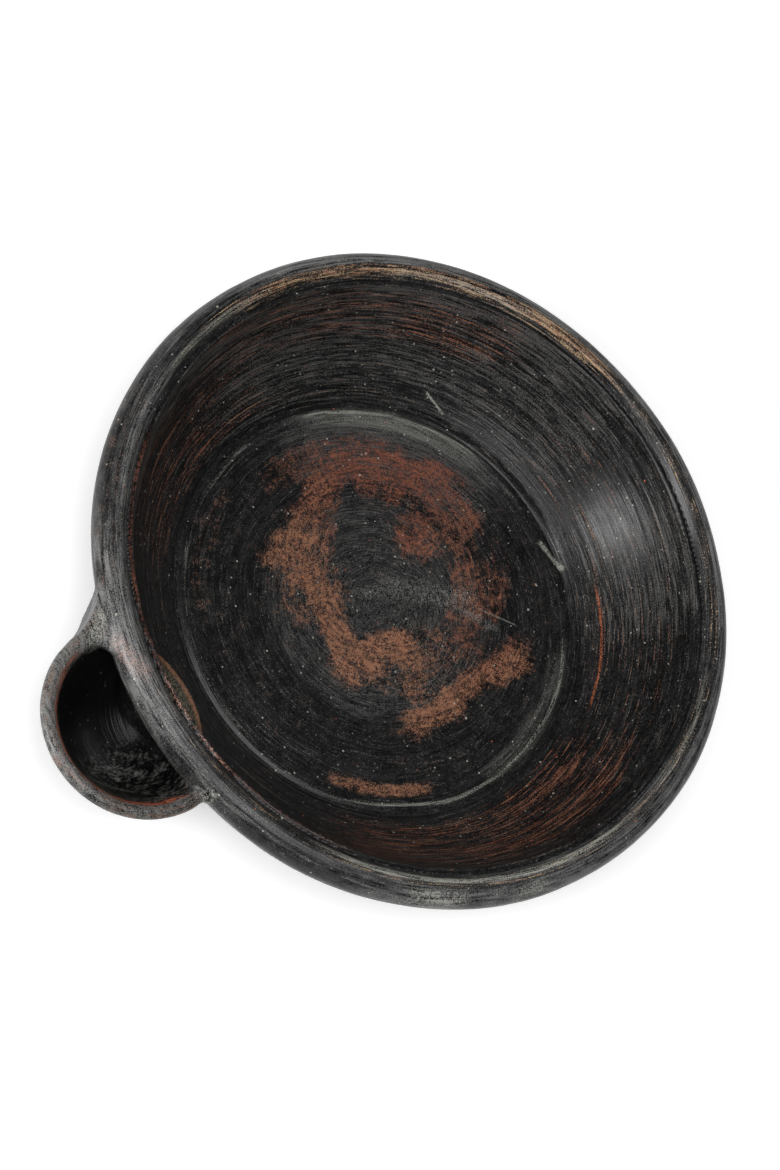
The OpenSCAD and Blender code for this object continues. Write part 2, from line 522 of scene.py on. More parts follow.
# %% Unevenness
def uneven(piece, name, size, strength):
    """Moves a piece's surface in and out by soft clouds of that size."""
    clouds = bpy.data.textures.new(name, "CLOUDS")
    clouds.noise_scale = size
    clouds.noise_depth = 1
    finish_with(piece, "DISPLACE", texture=clouds, texture_coords="LOCAL", strength=strength,
                mid_level=0.5)
    print(name, "unevenness of", strength / MM, "mm")


uneven(bowl, "slow", 70 * MM, 0.7 * MM)
uneven(bowl, "dents", 14 * MM, 0.22 * MM)

# %% Fewer faces where the surface is plain
MOST_TRIANGLES = 190000
triangles = 2 * len(bowl.data.polygons)
finish_with(bowl, "DECIMATE", decimate_type="COLLAPSE", ratio=MOST_TRIANGLES / triangles)
select_only(bowl)
bpy.ops.object.shade_smooth()
print("finished with", sum(len(p.vertices) - 2 for p in bowl.data.polygons), "triangles")
for scrap in (turned, handle, cup_outside, pads_outside, inner_part, hollow, bowl_inside, above_lip, bridge,
              hole, mouth):
    bpy.data.objects.remove(scrap)

# %% [markdown]
# ## The finish
# The clay is black-grey and burnished, so most of it is dark with a soft sheen. The turning left
# streaks that run round the bowl: some are paler grey, some show the rust-red body. Where the black
# has been rubbed away, on the floor, on the crest and along the edges, the body shows as mottled rust
# and tan. Everything is drawn from the object's own coordinates: the distance from the axis and the
# direction round it place each worn patch, and noise that is stretched round the axis makes the
# streaks. A painted picture could do the same, but it would need an image file and an unwrapped mesh.

# %% A new material, and arithmetic between its nodes
class Sums:
    """Adds Math nodes to one material and wires them. Values may be sockets or plain numbers."""

    def __init__(self, name):
        self.material = bpy.data.materials.new(name)
        self.material.use_nodes = True
        self.nodes = self.material.node_tree.nodes
        self.links = self.material.node_tree.links
        self.shader = self.nodes["Principled BSDF"]

    def feed(self, socket, value):
        """Links a socket, or writes a plain value on it."""
        if isinstance(value, bpy.types.NodeSocket):
            self.links.new(value, socket)
        else:
            socket.default_value = value

    def math(self, operation, *values, clamp=False):
        """A Math node."""
        node = self.nodes.new("ShaderNodeMath")
        node.operation = operation
        node.use_clamp = clamp
        for socket, value in zip(node.inputs, values):
            self.feed(socket, value)
        return node.outputs[0]

    def chain(self, operation, values):
        """One operation over a list of values."""
        result = values[0]
        for value in values[1:]:
            result = self.math(operation, result, value)
        return result

    def times(self, *values):
        """The product of several values."""
        return self.chain("MULTIPLY", values)

    def most(self, *values):
        """The largest of several values."""
        return self.chain("MAXIMUM", values)

    def mixed(self, *parts):
        """A sum of (share, value) pairs."""
        result = 0.0
        for share, value in parts:
            result = self.math("MULTIPLY_ADD", value, share, result)
        return result


# %% Soft steps, colours, vectors and noise
class Recipe(Sums):
    """Adds the other nodes that a finish needs."""

    def rise(self, value, start, end, low=0.0, high=1.0):
        """Goes smoothly from low to high as the value goes from start to end."""
        node = self.nodes.new("ShaderNodeMapRange")
        node.interpolation_type = "SMOOTHSTEP"
        for name, number in (("Value", value), ("From Min", start), ("From Max", end),
                             ("To Min", low), ("To Max", high)):
            self.feed(node.inputs[name], number)
        return node.outputs["Result"]

    def between(self, value, low, high, soft):
        """One between low and high, falling to nothing over a soft edge on both sides."""
        return self.times(self.rise(value, low - soft, low), self.rise(value, high, high + soft, 1.0, 0.0))

    def blend(self, share, first, second):
        """A colour that goes from the first to the second."""
        node = self.nodes.new("ShaderNodeMix")
        node.data_type = "RGBA"
        self.feed(node.inputs[0], share)
        self.feed(node.inputs[6], first)
        self.feed(node.inputs[7], second)
        return node.outputs[2]

    def vector(self, x, y, z):
        """A vector from three values."""
        node = self.nodes.new("ShaderNodeCombineXYZ")
        for socket, value in zip(node.inputs, (x, y, z)):
            self.feed(socket, value)
        return node.outputs[0]

    def noise(self, place, scale, detail=2.0, roughness=0.5):
        """Soft noise."""
        node = self.nodes.new("ShaderNodeTexNoise")
        self.feed(node.inputs["Vector"], place)
        node.inputs["Scale"].default_value = scale
        node.inputs["Detail"].default_value = detail
        node.inputs["Roughness"].default_value = roughness
        return node.outputs["Fac"]


# %% Where a point is: its place in millimetres, and its distance and direction from an axis
clay = Recipe("burnished_clay")
in_mm = clay.nodes.new("ShaderNodeVectorMath")
in_mm.operation = "SCALE"
clay.feed(in_mm.inputs[0], clay.nodes.new("ShaderNodeTexCoord").outputs["Object"])
in_mm.inputs["Scale"].default_value = 1 / MM
place = in_mm.outputs[0]
split = clay.nodes.new("ShaderNodeSeparateXYZ")
clay.feed(split.inputs[0], place)
X, Y, Z = split.outputs


def count_nodes(step):
    """Prints how many nodes the clay's finish has after a step."""
    print(step + ":", len(clay.nodes), "nodes")


def distance(x, y, centre_x, centre_y):
    """Distance in a plane from a centre."""
    across = clay.math("SUBTRACT", x, centre_x)
    along = clay.math("SUBTRACT", y, centre_y)
    return clay.math("SQRT", clay.math("MULTIPLY_ADD", across, across, clay.times(along, along)))


def directions(centre_x, centre_y):
    """Distance from an upright axis, direction round it, a measure down the profile, share of a turn."""
    away = clay.math("MAXIMUM", distance(X, Y, centre_x, centre_y), 0.01)
    cosine = clay.math("DIVIDE", clay.math("SUBTRACT", X, centre_x), away)
    sine = clay.math("DIVIDE", clay.math("SUBTRACT", Y, centre_y), away)
    turn = clay.math("MULTIPLY_ADD", clay.math("ARCTAN2", sine, cosine), 0.5 / math.pi, 0.5)
    return away, clay.vector(cosine, sine, 0), clay.math("MULTIPLY_ADD", Z, 0.37, away), turn


# %% Strength by direction: one zone, or several in one ramp
def sector(way, middle, half, soft=12.0, strength=1.0):
    """A strength within half degrees of the middle direction, falling to nothing over a soft edge."""
    facing = clay.nodes.new("ShaderNodeVectorMath")
    facing.operation = "DOT_PRODUCT"
    clay.feed(facing.inputs[0], way[1])
    facing.inputs[1].default_value = (math.cos(math.radians(middle)), math.sin(math.radians(middle)), 0)
    edge = math.cos(math.radians(min(180, half + soft)))
    return clay.rise(facing.outputs["Value"], edge, math.cos(math.radians(half)), 0, strength)


def strength_at(degrees, base, zones):
    """The strongest zone in that direction, or the base strength where it is stronger."""
    strongest = base
    for middle, half, soft, strength in zones:
        off = abs((degrees - middle + 180) % 360 - 180)
        strongest = max(strongest, strength * min(1, max(0, (half + soft - off) / soft)))
    return strongest


def sectors(way, base, *zones):
    """A ramp round the axis, through several zones, each (middle, half, soft, strength) in degrees."""
    edges = []
    for middle, half, soft, _ in zones:
        edges += [middle - half - soft, middle - half, middle + half, middle + half + soft]
    stops = sorted({round((edge + 180) % 360 - 180, 2) for edge in edges} | {-180.0, 180.0})
    node = clay.nodes.new("ShaderNodeValToRGB")
    node.color_ramp.interpolation = "EASE"
    clay.feed(node.inputs[0], way[3])
    for degrees in stops[1:-1]:
        node.color_ramp.elements.new(degrees / 360 + 0.5)
    for element, degrees in zip(node.color_ramp.elements, stops):
        strength = strength_at(degrees, base, zones)
        element.color = (strength, strength, strength, strength)
    return node.outputs["Alpha"]


# %% Distances, and the parts of the surface, each part a value from 0 to 1
ROUND_BOWL = directions(0, 0)
ROUND_CUP = directions(CUP_X, CUP_Y)
R = ROUND_BOWL[0]
CUP_R = ROUND_CUP[0]
from_arc = clay.math("SUBTRACT", distance(R, Z, BOW_X, BOW_Z), BOW_R)
hole_r = distance(Y, Z, HOLE_Y, HOLE_Z)
inside = clay.times(clay.rise(Z, 3, 5), clay.rise(from_arc, 3, 5, 1, 0), clay.rise(R, 133.6, 134.6, 1, 0))
on_floor = clay.times(inside, clay.rise(R, 94.5, 96.0, 1, 0))
on_wall = clay.times(inside, clay.rise(R, 95.5, 98.0))
on_lip = clay.times(clay.between(R, 133.4, 135.2, 0.4), clay.rise(Z, 56, 58))
on_crest = clay.times(clay.between(R, 136.8, 142.4, 0.8), clay.rise(Z, 58.5, 60.5))
on_flank = clay.times(clay.rise(R, 142.0, 143.2), clay.rise(Z, 46, 52))
past_rim = clay.rise(R, 150.0, 151.5)
in_hole = clay.times(clay.rise(from_arc, 0.5, 1.6), clay.rise(hole_r, 20.2, 21.2, 1, 0),
                     clay.rise(R, 127, 129, 1, 0), clay.rise(X, 90, 95))
in_cup = clay.times(clay.rise(CUP_R, 36.2, 37.4, 1, 0), clay.rise(R, 138, 140), clay.rise(Z, 55, 51))
count_nodes("places")

# %% The noises: streaks round the bowl, streaks round the half-cup, blotches and grain
def streaks(way, length, width, detail, roughness=0.6, shift=0.0):
    """Noise stretched round an axis: length in turns' radians, width in millimetres."""
    spread = clay.nodes.new("ShaderNodeVectorMath")
    spread.operation = "MULTIPLY_ADD"
    clay.feed(spread.inputs[0], way[1])
    spread.inputs[1].default_value = (1 / length, 1 / length, 0)
    clay.feed(spread.inputs[2], clay.vector(0, 0, clay.math("MULTIPLY_ADD", way[2], 1 / width, shift)))
    return clay.noise(spread.outputs[0], 1.0, detail, roughness)


hair = streaks(ROUND_BOWL, 0.09, 0.50, 1, 0.6)
thread = streaks(ROUND_BOWL, 0.30, 1.05, 2, 0.65, shift=40)
lines = streaks(ROUND_BOWL, 0.70, 0.75, 1, 0.6, shift=70)
rust_thread = streaks(ROUND_BOWL, 0.16, 0.85, 2, 0.7, shift=90)
rust_broad = streaks(ROUND_BOWL, 0.38, 4.0, 1, 0.6, shift=120)
cup_thread = streaks(ROUND_CUP, 0.30, 0.9, 2, 0.7, shift=140)
pepper = clay.noise(place, 2.1, 0, 0.5)
grain = clay.noise(place, 0.66, 2, 0.7)
blotches = clay.noise(place, 0.17, 3, 0.65)
clouds = clay.noise(place, 0.035, 1, 0.5)
count_nodes("noises")

# %% Colours, as the clay's own in plain light, from black through grey to the bare clay; a few of them also paint sheen, highlights and shade
BLACK = (0.0030, 0.0030, 0.0031, 1)
CHARCOAL = (0.0265, 0.0265, 0.0270, 1)
GREY = (0.075, 0.074, 0.071, 1)
ASH = (0.17, 0.168, 0.158, 1)
PALE = (0.33, 0.33, 0.29, 1)
DARK_RUST = (0.048, 0.021, 0.015, 1)
RUST = (0.225, 0.074, 0.042, 1)
TAN = (0.290, 0.140, 0.078, 1)
SAND = (0.40, 0.29, 0.175, 1)
ORANGE = (0.40, 0.115, 0.05, 1)
PINK = (0.46, 0.24, 0.18, 1)
OLIVE = (0.085, 0.075, 0.052, 1)
RUB_AND_SHEEN_GREY = (0.205, 0.206, 0.203, 1)
WARM_GREY = (0.12, 0.085, 0.062, 1)
DULL_SAND = (0.20, 0.165, 0.125, 1)
WALL_RUST = (0.26, 0.098, 0.053, 1)
FLANK_RUST = (0.2, 0.10, 0.06, 1)
LIP_PINK = (0.19, 0.125, 0.10, 1)
LIP_RED = (0.48, 0.125, 0.06, 1)
HOLE_BROWN = (0.26, 0.13, 0.075, 1)
print("from", BLACK[:3], "to", PALE[:3], "and", SAND[:3])

# %% Laying one colour over those before it
def over(share, paint):
    """The colour so far, with a share of another one laid over it."""
    return clay.blend(share, colour, paint)


# %% Where grey dust lies and where a grey sheen is painted, by direction and strength
# The wall's zone at 160 degrees is a painted sheen on the far wall. The rim's outside zones at -150, 170 and
# -12 degrees are a painted sheen where the roll catches the light. The other zones are grey dust.
WALL_DUST_AND_SHEEN = ((160, 10, 12, 0.8), (-125, 42, 20, 0.85), (70, 10, 12, 0.5))
UPPER_WALL_DUST = ((-100, 50, 20, 1.0), (-45, 14, 10, 0.9))
FLANK_DUST_AND_SHEEN = ((-150, 40, 20, 0.9), (-100, 14, 14, 0.8), (-12, 12, 8, 1.0), (170, 30, 20, 0.75),
              (110, 40, 20, 0.5), (15, 12, 10, 0.5))
FLOOR_DUST = ((-128, 22, 30, 1.0),)
floor_dust = clay.times(on_floor, clay.most(
    clay.rise(R, 46, 62, 0.7, 0),
    clay.times(clay.between(R, 66, 90, 16), sectors(ROUND_BOWL, 0.15, *FLOOR_DUST)),
))
dust_and_sheen = clay.most(
    floor_dust,
    clay.times(on_wall, clay.rise(R, 100, 112, 0.6, 1.0), sectors(ROUND_BOWL, 0.1, *WALL_DUST_AND_SHEEN)),
    clay.times(on_flank, sectors(ROUND_BOWL, 0.3, *FLANK_DUST_AND_SHEEN)),
    clay.times(on_wall, clay.rise(R, 126, 130), sectors(ROUND_BOWL, 0.2, *UPPER_WALL_DUST)),
    clay.times(on_crest, 0.4),
    clay.times(past_rim, 0.35),
)
count_nodes("dust_and_sheen")

# %% The black ground with its grey streaks and scuffs
ground_tone = clay.mixed((0.20, blotches), (0.25, grain), (0.30, pepper), (0.25, thread), (0.12, floor_dust))
colour = clay.blend(clay.rise(ground_tone, 0.44, 0.66), BLACK, CHARCOAL)
# The grey streaks and the ash scuffs grow denser where dust lies and where the grey sheen is painted.
streak_tone = clay.mixed((0.35, thread), (0.35, hair), (0.30, pepper), (0.13, dust_and_sheen))
colour = over(clay.rise(streak_tone, 0.58, 0.69, 0.0, 0.85), GREY)
scuff_tone = clay.mixed((0.35, hair), (0.35, grain), (0.3, blotches), (0.08, dust_and_sheen))
colour = over(clay.rise(scuff_tone, 0.66, 0.76, 0.0, 0.8), ASH)
count_nodes("ground")

# %% The rim's outside, an even grey that is partly rubbed clay and partly painted sheen, and fine flecks and pits everywhere
# On the rim's outside this grey is a painted sheen, strongest on the far side and beside the half-cup,
# together with rubbed clay. On the crest it is rubbed clay.
FLANK_RUB_AND_SHEEN = ((-150, 50, 20, 1.0), (-12, 14, 10, 0.75), (178, 30, 20, 0.9), (110, 50, 20, 0.65))
RUBBED_CREST = ((-25, 30, 12, 0.8), (80, 30, 14, 0.45))
rubbed_and_sheen = clay.most(clay.times(on_flank, sectors(ROUND_BOWL, 0.2, *FLANK_RUB_AND_SHEEN)),
                   clay.times(past_rim, 0.2),
                   clay.times(on_crest, sectors(ROUND_BOWL, 0.12, *RUBBED_CREST)))
rub_and_sheen_tone = clay.mixed((0.30, hair), (0.25, pepper), (0.30, thread), (0.15, blotches))
colour = over(clay.times(rubbed_and_sheen, clay.rise(rub_and_sheen_tone, 0.38, 0.66)), RUB_AND_SHEEN_GREY)
fleck_tone = clay.mixed((0.5, pepper), (0.5, hair))
flecks = clay.times(clay.rise(fleck_tone, 0.64, 0.74), clay.rise(blotches, 0.35, 0.6, 0.35, 1.0))
colour = over(clay.times(flecks, 0.8), ASH)
pits = clay.rise(fleck_tone, 0.29, 0.38, 1, 0)
count_nodes("rubbed rim and flecks")

# %% [markdown]
# ## Worn patches on the floor
# The largest is a ring of rubbed clay off the floor's centre, tan where it is rubbed most and rust-red
# on its other side, with a dark middle. A short band lies beside it, and a few streaks follow the
# floor's edge. Each is a soft area with a strength. Grain and brush marks that circle the patch decide
# point by point whether the body shows, so the patch breaks up into mottles towards its edges.

# %% Strength of the floor's patches
ROUND_PATCH = directions(-14, -14)
swirl = streaks(ROUND_PATCH, 0.26, 1.6, 2, 0.7, shift=160)
warp = clay.math("MULTIPLY_ADD", clay.noise(place, 0.045, 1, 0.55), 44, -22)
patch_r = clay.math("ADD", ROUND_PATCH[0], warp)
RING_ZONES = ((14, 56, 34, 1.0), (-62, 34, 20, 0.85), (-110, 34, 26, 0.95), (176, 44, 30, 0.72),
              (105, 22, 20, 0.66))
ring = clay.times(clay.between(patch_r, 41, 49, 19), sectors(ROUND_PATCH, 0.35, *RING_ZONES))
band_y = clay.mixed((1, Y), (0.30, warp), (-0.06, X))
band = clay.times(clay.between(band_y, 50, 56, 10), clay.between(X, -46, 10, 22), 0.95)
edge_rust = clay.times(clay.between(R, 84, 86.5, 4), sector(ROUND_BOWL, 58, 10, 12), 0.9)
faint_rust = clay.most(
    clay.times(clay.between(R, 70, 78, 9), sector(ROUND_BOWL, -108, 22, 20), 0.62),
    clay.times(clay.between(R, 82, 87, 5), sector(ROUND_BOWL, -44, 16, 16), 0.42),
    clay.rise(distance(X, Y, -37, -20), 7, 21, 0.85, 0),
    clay.times(clay.rise(R, 84, 90, 1, 0), 0.16),
)
floor_strength = clay.times(clay.most(ring, band, edge_rust, faint_rust), on_floor)
count_nodes("floor's patches")

# %% Where the body shows, and its colour
breakup = clay.mixed((0.34, grain), (0.22, swirl), (0.38, blotches), (0.26, pepper))
floor_wear = clay.rise(clay.mixed((0.30, floor_strength), (1.0, breakup)), 0.73, 0.98)
tan_side = clay.most(sector(ROUND_PATCH, 20, 62, 36, 0.95), sector(ROUND_PATCH, -45, 30, 20, 0.35),
                     sector(ROUND_PATCH, 150, 30, 20, 0.3),
                     clay.times(clay.between(X, -60, 0, 20), clay.rise(Y, 40, 50), 0.8))
tan_tone = clay.mixed((0.3, pepper), (0.3, swirl), (0.4, grain))
tan_share = clay.times(tan_side, clay.rise(tan_tone, 0.40, 0.60))
rust_tone = clay.mixed((0.35, pepper), (0.35, grain), (0.3, swirl))
worn_body = clay.blend(clay.rise(rust_tone, 0.40, 0.60), DARK_RUST, RUST)
worn_body = clay.blend(tan_share, worn_body, TAN)
colour = over(clay.times(floor_wear, 0.95), worn_body)
count_nodes("worn floor")

# %% [markdown]
# ## Rust streaks on the wall, and the worn edges
# On the wall the body shows in streaks that follow the turning, more on some sides than on others.
# The crest of the rim has been handled most and is worn to tan and sand along its ridges, and a pale
# highlight is painted along one side of it. The floor's raised edge is rubbed to a pale grey line, and a
# painted highlight lies along part of it.

# %% Wall streaks
WALL_RUST_ZONES = ((78, 28, 20, 0.84), (-60, 20, 24, 0.7), (128, 22, 18, 0.5), (178, 16, 14, 0.5))
UPPER_RUST_ZONES = ((-110, 32, 16, 0.75), (-30, 20, 16, 0.5))
wall_zone = clay.times(on_wall, clay.most(
    clay.times(clay.between(R, 104, 127, 7), sectors(ROUND_BOWL, 0, *WALL_RUST_ZONES)),
    clay.times(clay.between(R, 122, 132, 6), sectors(ROUND_BOWL, 0, *UPPER_RUST_ZONES)),
    0.25))
wall_tone = clay.mixed((0.20, wall_zone), (0.34, rust_thread), (0.32, lines), (0.10, rust_broad),
                       (0.22, pepper), (0.22, hair))
wall_rust = clay.times(clay.rise(wall_tone, 0.78, 0.88), on_wall)
wall_body = clay.blend(clay.rise(fleck_tone, 0.40, 0.56), DARK_RUST, WALL_RUST)
colour = over(clay.times(wall_rust, 0.85), wall_body)
warm_tone = clay.mixed((0.5, rust_thread), (0.5, hair), (0.04, wall_zone))
colour = over(clay.times(clay.rise(warm_tone, 0.63, 0.70, 0, 0.55), on_wall), WARM_GREY)
line_tone = clay.mixed((0.75, lines), (0.25, pepper))
colour = over(clay.times(clay.rise(line_tone, 0.66, 0.74, 0, 0.7), on_wall), DULL_SAND)
count_nodes("wall")

# %% The crest, worn to tan along its ridges, and a pale line on one side that is partly a painted highlight and partly worn clay
CREST_ZONES = ((-112, 26, 14, 0.9), (-142, 16, 12, 1.0), (80, 30, 18, 0.6), (165, 38, 14, 0.5),
               (30, 14, 14, 0.5))
CREST_HIGHLIGHT_ZONES = ((68, 24, 12, 1.0), (-130, 8, 10, 0.5), (-75, 8, 8, 0.5), (120, 8, 8, 0.4))
crest_zone = sectors(ROUND_BOWL, 0.35, *CREST_ZONES)
ridges = clay.most(clay.between(R, 138.6, 140.2, 0.8), clay.between(R, 141.4, 142.0, 0.4))
crest_tone = clay.mixed((0.20, crest_zone), (0.34, rust_thread), (0.34, hair), (0.28, pepper),
                        (0.04, blotches), (0.08, ridges))
crest_wear = clay.times(clay.rise(crest_tone, 0.73, 0.81), on_crest)
sand_share = clay.rise(clay.mixed((0.5, grain), (0.5, rust_thread)), 0.44, 0.58)
colour = over(clay.times(crest_wear, 0.88), clay.blend(sand_share, TAN, SAND))
# A painted highlight along the crest's inner ridge, strongest at 68 degrees, over worn clay and broken up by
# the streaks.
pale_crest_highlight = clay.times(clay.between(R, 138.2, 140.2, 0.9), clay.rise(Z, 61, 62),
                        sectors(ROUND_BOWL, 0, *CREST_HIGHLIGHT_ZONES),
                        clay.rise(clay.mixed((0.35, thread), (0.35, hair), (0.3, pepper)), 0.42, 0.58))
colour = over(clay.times(pale_crest_highlight, 0.8), PALE)
count_nodes("crest")

# %% Rust on the rim's outside
flank_zone = sectors(ROUND_BOWL, 0.3, (-40, 14, 10, 1.0), (-118, 16, 14, 0.8), (-150, 12, 10, 0.5))
flank_tone = clay.mixed((0.14, flank_zone), (0.30, rust_thread), (0.35, blotches), (0.35, pepper))
flank_rust = clay.times(clay.rise(flank_tone, 0.68, 0.80), clay.most(on_flank, clay.times(past_rim, 0.6)))
flank_body = clay.blend(clay.rise(grain, 0.45, 0.6), DARK_RUST, FLANK_RUST)
colour = over(clay.times(flank_rust, 0.75), flank_body)
count_nodes("flank")

# %% The pale edge round the floor, partly worn clay and partly a painted highlight
EDGE_ZONES = ((-128, 24, 12, 1.0), (-68, 9, 7, 0.55), (-30, 10, 10, 0.35), (20, 26, 12, 0.5),
              (76, 24, 12, 0.8), (118, 20, 14, 0.75), (180, 14, 10, 0.4))
EDGE_HIGHLIGHT_ZONES = ((-128, 18, 16, 1.0), (118, 16, 12, 0.5))
edge_zone = sectors(ROUND_BOWL, 0.1, *EDGE_ZONES)
edge_r = clay.math("MULTIPLY_ADD", clay.math("SUBTRACT", clouds, 0.5), 5, R)
edge_tone = clay.mixed((0.15, edge_zone), (0.45, thread), (0.20, hair), (0.35, pepper))
edge_line = clay.times(clay.between(edge_r, 92.4, 93.2, 0.8), clay.rise(edge_tone, 0.54, 0.70))
edge_highlight_tone = clay.mixed((0.4, thread), (0.3, rust_broad), (0.3, pepper))
# A painted highlight: a smooth pale band along the floor's edge, strongest at -128 degrees.
edge_highlight = clay.times(clay.between(R, 88, 92.6, 4), sectors(ROUND_BOWL, 0, *EDGE_HIGHLIGHT_ZONES),
                       clay.rise(edge_highlight_tone, 0.36, 0.66))
pale_edge = clay.most(clay.times(edge_line, edge_zone, 0.75), clay.times(edge_highlight, 0.36))
colour = over(clay.times(pale_edge, inside), PALE)
count_nodes("floor's edge")

# %% [markdown]
# ## The half-cup and the hole
# The half-cup's lip is greyer and a little pink, with a thin line of bare clay along its inner edge.
# Its inside is painted black as the shade in its hollow, with grey brush marks only on the side where
# light falls. Through the hole the clay is bare and olive-brown, and the hole's lower edge is worn to a
# thin brown line. The rim that bridges the hole is worn on both sides, to rust and pink inside the bowl
# and to a short pale line at the mouth. These edges are found by their distance from the hole's axis,
# from the half-cup's and from the bowl's, which holds better than a painted mask where the smoothing
# has moved the skin a little.

# %% The half-cup's lip and inside
on_cup_lip = clay.times(past_rim, clay.rise(Z, 53, 55.5), clay.rise(CUP_R, 36.6, 37.6))
lip_tone = clay.mixed((0.35, cup_thread), (0.35, pepper), (0.3, blotches))
lip_colour = clay.blend(clay.rise(cup_thread, 0.50, 0.62), ASH, LIP_PINK)
colour = over(clay.times(on_cup_lip, clay.rise(lip_tone, 0.40, 0.64), 0.85), lip_colour)
brush_tone = clay.mixed((0.25, cup_thread), (0.35, grain), (0.40, blotches))
brushed_lit_side = clay.times(clay.rise(Y, -4, 14), clay.rise(CUP_R, 34, 36.5, 1, 0),
                     clay.rise(brush_tone, 0.47, 0.64))
# The half-cup's inside is painted black as its shade, and its grey brush marks show only on the side that
# the light reaches.
colour = over(in_cup, clay.blend(clay.times(brushed_lit_side, 0.8), BLACK, ASH))
line_r = clay.math("MULTIPLY_ADD", clay.math("SUBTRACT", blotches, 0.5), 4.0, CUP_R)
red_line = clay.times(clay.between(line_r, 36.0, 37.4, 0.5), clay.rise(Z, 51, 53), past_rim,
                      sectors(ROUND_CUP, 0, (28, 50, 16, 1.0), (-46, 20, 12, 0.55)),
                      clay.rise(lip_tone, 0.40, 0.52))
colour = over(clay.times(red_line, 0.9), LIP_RED)
count_nodes("half-cup")

# %% The hole and the edges of the rim over it
BRIDGE_ZONES = ((6, 7, 6, 1.0), (-28, 18, 8, 0.6), (28, 8, 8, 0.3))
mouth_edge = clay.times(clay.between(Z, 49.5, 52.0, 0.8), clay.rise(R, 146, 147),
                        sector(ROUND_BOWL, 4, 7, 3),
                        clay.rise(clay.mixed((0.6, pepper), (0.4, grain)), 0.50, 0.60))
mouth_colour = clay.blend(clay.rise(blotches, 0.45, 0.55), PALE, RUST)
colour = over(clay.times(mouth_edge, 0.75), mouth_colour)
fine_tone = clay.mixed((0.5, grain), (0.5, pepper))
colour = over(clay.times(in_hole, clay.rise(fine_tone, 0.38, 0.6)), OLIVE)
hole_line = clay.times(clay.between(hole_r, 19.8, 20.5, 0.4), clay.between(from_arc, -0.8, 0.8, 0.8),
                       clay.rise(X, 95, 98))
colour = over(clay.times(hole_line, clay.rise(pepper, 0.4, 0.6, 0.35, 0.9)), HOLE_BROWN)
bridge_tone = clay.mixed((0.3, rust_thread), (0.35, pepper), (0.35, grain))
bridge_line = clay.times(on_lip, sectors(ROUND_BOWL, 0, *BRIDGE_ZONES),
                         clay.rise(bridge_tone, 0.48, 0.57))
bridge_colour = clay.blend(sector(ROUND_BOWL, 6, 8, 8), RUST, PINK)
colour = over(clay.times(bridge_line, 0.8), bridge_colour)
count_nodes("hole")

# %% [markdown]
# ## Scratches, scuffs and specks
# A few marks can be named one by one: a pale scratch on the wall, a faint one on the floor and a chip
# on the floor's edge, a grey scuff across the floor's middle, pale scuffs on the rim and where the
# half-cup joins it, a pink one beside the mouth, and an orange scratch that runs round low on the wall.
# The straight ones are drawn by their distance from a line on the plan, and broken up by the grain.
# The specks are dots round the seeds of a Voronoi pattern, whose random colour picks a few, and the
# pits are the darkest points of the finest noise.

# %% Strokes
def stroke(start, end, width, soft=1.0):
    """One within width of the line from start to end, on the plan."""
    (start_x, start_y), (end_x, end_y) = start, end
    length = math.hypot(end_x - start_x, end_y - start_y)
    along_x, along_y = (end_x - start_x) / length, (end_y - start_y) / length
    along = clay.mixed((along_x, X), (along_y, Y))
    across = clay.math("ABSOLUTE", clay.math("SUBTRACT", clay.mixed((-along_y, X), (along_x, Y)),
                                             along_x * start_y - along_y * start_x))
    low = along_x * start_x + along_y * start_y
    return clay.times(clay.rise(across, width, width + soft, 1, 0),
                      clay.between(along, low, low + length, 2 * soft))


def with_strokes(marks, paint, lowest, cover):
    """The colour so far, with broken strokes on what lies above the lowest height."""
    area = clay.most(*[clay.times(stroke(*mark[:4]), mark[4]) for mark in marks])
    area = clay.times(area, clay.rise(Z, lowest, lowest + 1))
    return over(clay.times(area, cover), paint)


# %% The straight marks, each as its start, end, half width, softness and strength
SCRATCHES = (((-78, -65), (-74, -76), 0.2, 0.4, 0.8), ((-58, 37), (-45, 22), 0.2, 0.4, 0.3),
             ((-91.5, 9.5), (-94, 23), 0.4, 1.3, 0.75))
FLOOR_SCUFFS = (((-38, 14), (-12, -4), 2.0, 6.0, 0.7), ((-46, 32), (-32, 12), 0.6, 3.0, 0.6),
                ((-14, -2), (2, -8), 1.0, 4.0, 0.5))
RIM_SCUFFS = (((146, -43), (152, -37), 1.0, 3.5, 0.9), ((144, 44), (148, 50), 0.8, 3.0, 0.9),
              ((84, 121), (67, 131), 0.8, 3.5, 0.8), ((39, 142), (29, 144), 0.8, 3.0, 0.7))
PINK_SCUFFS = (((143, -16), (146, -30), 1.0, 4.0, 0.35),)
thin_cover = clay.rise(clay.mixed((0.5, pepper), (0.5, grain)), 0.36, 0.52)
broken_cover = clay.rise(clay.mixed((0.30, hair), (0.35, pepper), (0.35, grain)), 0.45, 0.60)
colour = with_strokes(SCRATCHES, PALE, 7, thin_cover)
colour = with_strokes(FLOOR_SCUFFS, ASH, 7, broken_cover)
colour = with_strokes(RIM_SCUFFS, PALE, 50, broken_cover)
colour = with_strokes(PINK_SCUFFS, PINK, 57, broken_cover)
count_nodes("straight marks")

# %% The orange scratch, a thin arc low on the wall
scratch_r = clay.math("MULTIPLY_ADD", clouds, 2.4, R)
scratch_tone = clay.mixed((0.5, rust_thread), (0.5, pepper))
scratch = clay.times(clay.between(scratch_r, 108.3, 108.7, 0.45), sector(ROUND_BOWL, 143, 12, 6), on_wall,
                     clay.rise(scratch_tone, 0.42, 0.54))
colour = over(clay.times(scratch, 0.7), ORANGE)
count_nodes("orange scratch")

